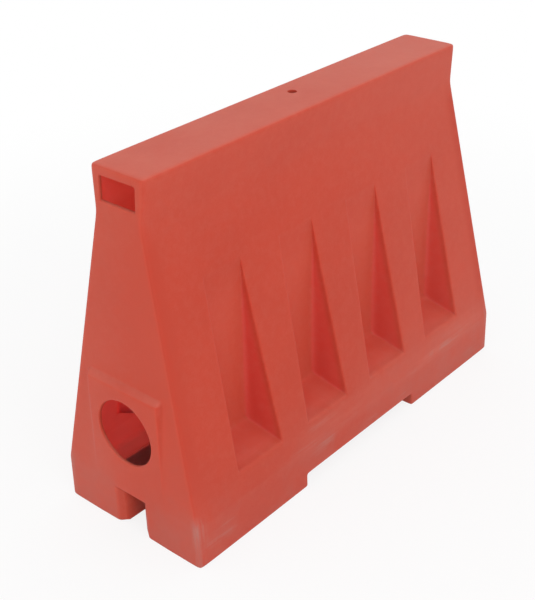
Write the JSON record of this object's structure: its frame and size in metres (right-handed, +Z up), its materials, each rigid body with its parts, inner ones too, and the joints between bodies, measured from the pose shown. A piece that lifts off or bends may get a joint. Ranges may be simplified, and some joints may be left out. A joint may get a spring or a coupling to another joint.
{
  "type": "road barrier",
  "caption": "Hollow plastic road barrier with sloping ribbed sides, a slotted top beam, round holes in upright pads at its ends, low feet and a screwed drain plug.",
  "frame": {"origin": "on the ground, under the middle of the barrier", "axes": "+X along the barrier, +Z up, and the drain plug is on the +Y side"},
  "size_m": [1, 0.3558, 0.737],
  "materials": {
    "barrier_shell": "matte, faintly mottled moulded polyethylene",
    "drain_bush": "turned",
    "drain_washer": "matt",
    "drain_plug": "satin black"
  },
  "bodies": {
    "barrier": {"barrier_shell": "barrier_shell", "drain_bush": "drain_bush"},
    "plug_travel": {"drain_washer": "drain_washer"},
    "plug": {"drain_plug": "drain_plug"}
  },
  "joints": [
    {"name": "plug_slide", "type": "slide", "parent": "barrier", "child": "plug_travel", "axis": [0, 1, 0], "range_m": [0, 0.014]},
    {"name": "plug_turn", "type": "hinge", "parent": "plug_travel", "child": "plug", "pos_m": [0.35, 0.154, 0.042], "axis": [0, 1, 0], "range_deg": [0, 1260]}
  ],
  "couplings": [
    {"joint": "plug_slide", "follows": "plug_turn", "m_per_rad": 0.0006366}
  ]
}
